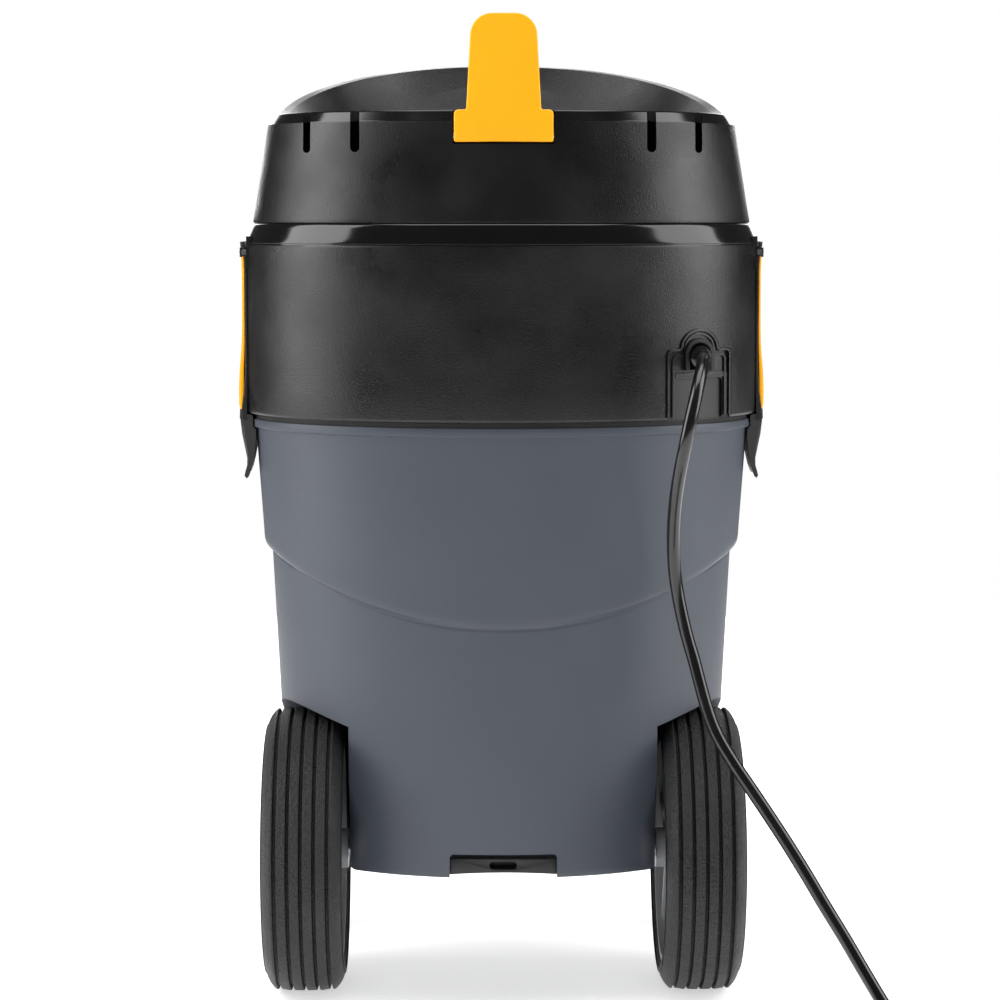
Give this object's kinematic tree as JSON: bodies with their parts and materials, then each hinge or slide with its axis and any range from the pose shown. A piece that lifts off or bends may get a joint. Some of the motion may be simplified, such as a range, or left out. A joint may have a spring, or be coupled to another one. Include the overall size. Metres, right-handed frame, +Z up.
{
  "type": "shop vacuum",
  "caption": "Upright wheeled wet and dry shop vacuum with a lift-off motor head, side latches, cord hook, large rear wheels and swivel casters.",
  "frame": {"origin": "centre of the floor rectangle under the machine, at floor height, with the cord left out", "axes": "+Z up, the front with the hose inlet faces -Y, the cord hook and the large wheels are towards +Y"},
  "size_m": [0.4795, 0.6675, 0.682],
  "materials": {
    "tank_grey": "satin slate grey moulded plastic",
    "head_black": "satin black moulded plastic",
    "trim_black": "matt black moulded plastic",
    "accent_yellow": "satin orange-yellow moulded plastic",
    "tyre_rubber": "grained black rubber",
    "rim_grey": "light grey moulded plastic",
    "seal_rubber": "soft black rubber",
    "cord_rubber": "black rubber sheath",
    "steel": "bright zinc plated steel",
    "aluminium": "pressed aluminium",
    "iron": "laminated iron",
    "copper": "wound copper and steel",
    "foam": "open cell foam",
    "filter_paper": "pleated cellulose",
    "float_white": "smooth white plastic",
    "brass": "bright brass"
  },
  "bodies": {
    "tank": {"tank": "tank_grey", "grip_insert": "trim_black", "hose_port": "trim_black", "port_screws": "steel", "inlet_deflector": "trim_black", "caster_beam": "trim_black", "beam_screws": "steel", "axle": "steel", "axle_clips": "steel", "cord_tube": "cord_rubber", "cord_coil": "cord_rubber", "coil_tie": "cord_rubber", "plug": "cord_rubber", "plug_pins": "brass"},
    "wheel_left": {"tyre_left": "tyre_rubber", "rim_left": "rim_grey", "hub_cap_left": "trim_black"},
    "wheel_right": {"tyre_right": "tyre_rubber", "rim_right": "rim_grey", "hub_cap_right": "trim_black"},
    "caster_left": {"caster_fork_left": "trim_black", "caster_pin_left": "steel"},
    "caster_right": {"caster_fork_right": "trim_black", "caster_pin_right": "steel"},
    "caster_wheel_left": {"caster_wheel_left": "rim_grey"},
    "caster_wheel_right": {"caster_wheel_right": "rim_grey"},
    "head": {"head_deck": "head_black", "tank_seal": "seal_rubber", "head_housing": "head_black", "deck_screws": "steel", "top_cover": "head_black", "carry_handle": "trim_black", "hook_pin": "steel", "latch_pins": "steel", "control_panel": "trim_black", "switch_body": "trim_black", "motor_mount": "seal_rubber", "fan_case": "aluminium", "motor_frame": "aluminium", "stator": "iron", "bearings": "steel", "acoustic_foam": "foam", "filter_cage": "trim_black", "pleated_filter": "filter_paper", "filter_flange": "trim_black", "filter_cap": "trim_black", "filter_nut": "accent_yellow", "cable_entry": "trim_black", "cord_grommet": "cord_rubber"},
    "hook": {"cord_hook": "accent_yellow"},
    "latch_left": {"latch_left": "trim_black", "latch_inlay_left": "accent_yellow"},
    "latch_right": {"latch_right": "trim_black", "latch_inlay_right": "accent_yellow"},
    "knob": {"switch_knob": "accent_yellow"},
    "rotor": {"rotor": "copper", "impeller": "aluminium", "cooling_fan": "trim_black"},
    "float": {"float_ball": "float_white"}
  },
  "joints": [
    {"name": "head_lift", "type": "slide", "parent": "tank", "child": "head", "axis": [0, 0, 1], "range_m": [0, 0.25]},
    {"name": "latch_left_swing", "type": "hinge", "parent": "head", "child": "latch_left", "pos_m": [-0.1805, 0.065, 0.522], "axis": [0, 1, 0], "range_deg": [0, 65]},
    {"name": "latch_right_swing", "type": "hinge", "parent": "head", "child": "latch_right", "pos_m": [0.1805, 0.065, 0.522], "axis": [0, -1, 0], "range_deg": [0, 65]},
    {"name": "wheel_left_spin", "type": "hinge", "parent": "tank", "child": "wheel_left", "pos_m": [-0.1385, 0.107, 0.1], "axis": [1, 0, 0], "continuous": true},
    {"name": "wheel_right_spin", "type": "hinge", "parent": "tank", "child": "wheel_right", "pos_m": [0.1385, 0.107, 0.1], "axis": [1, 0, 0], "continuous": true},
    {"name": "caster_left_swivel", "type": "hinge", "parent": "tank", "child": "caster_left", "pos_m": [-0.155, -0.088, 0.066], "axis": [0, 0, 1], "continuous": true},
    {"name": "caster_right_swivel", "type": "hinge", "parent": "tank", "child": "caster_right", "pos_m": [0.155, -0.088, 0.066], "axis": [0, 0, 1], "continuous": true},
    {"name": "caster_left_roll", "type": "hinge", "parent": "caster_left", "child": "caster_wheel_left", "pos_m": [-0.155, -0.07, 0.025], "axis": [1, 0, 0], "continuous": true},
    {"name": "caster_right_roll", "type": "hinge", "parent": "caster_right", "child": "caster_wheel_right", "pos_m": [0.155, -0.07, 0.025], "axis": [1, 0, 0], "continuous": true},
    {"name": "hook_fold", "type": "hinge", "parent": "head", "child": "hook", "pos_m": [0, 0.18483, 0.6005], "axis": [-1, 0, 0], "range_deg": [0, 85]},
    {"name": "knob_turn", "type": "hinge", "parent": "head", "child": "knob", "pos_m": [0, -0.16077, 0.476], "axis": [0, 1, 0], "range_deg": [0, 90]},
    {"name": "rotor_spin", "type": "hinge", "parent": "head", "child": "rotor", "pos_m": [0, 0.04, 0.43], "axis": [0, 0, 1], "continuous": true},
    {"name": "float_rise", "type": "slide", "parent": "head", "child": "float", "axis": [0, 0, 1], "range_m": [0, 0.06]}
  ]
}
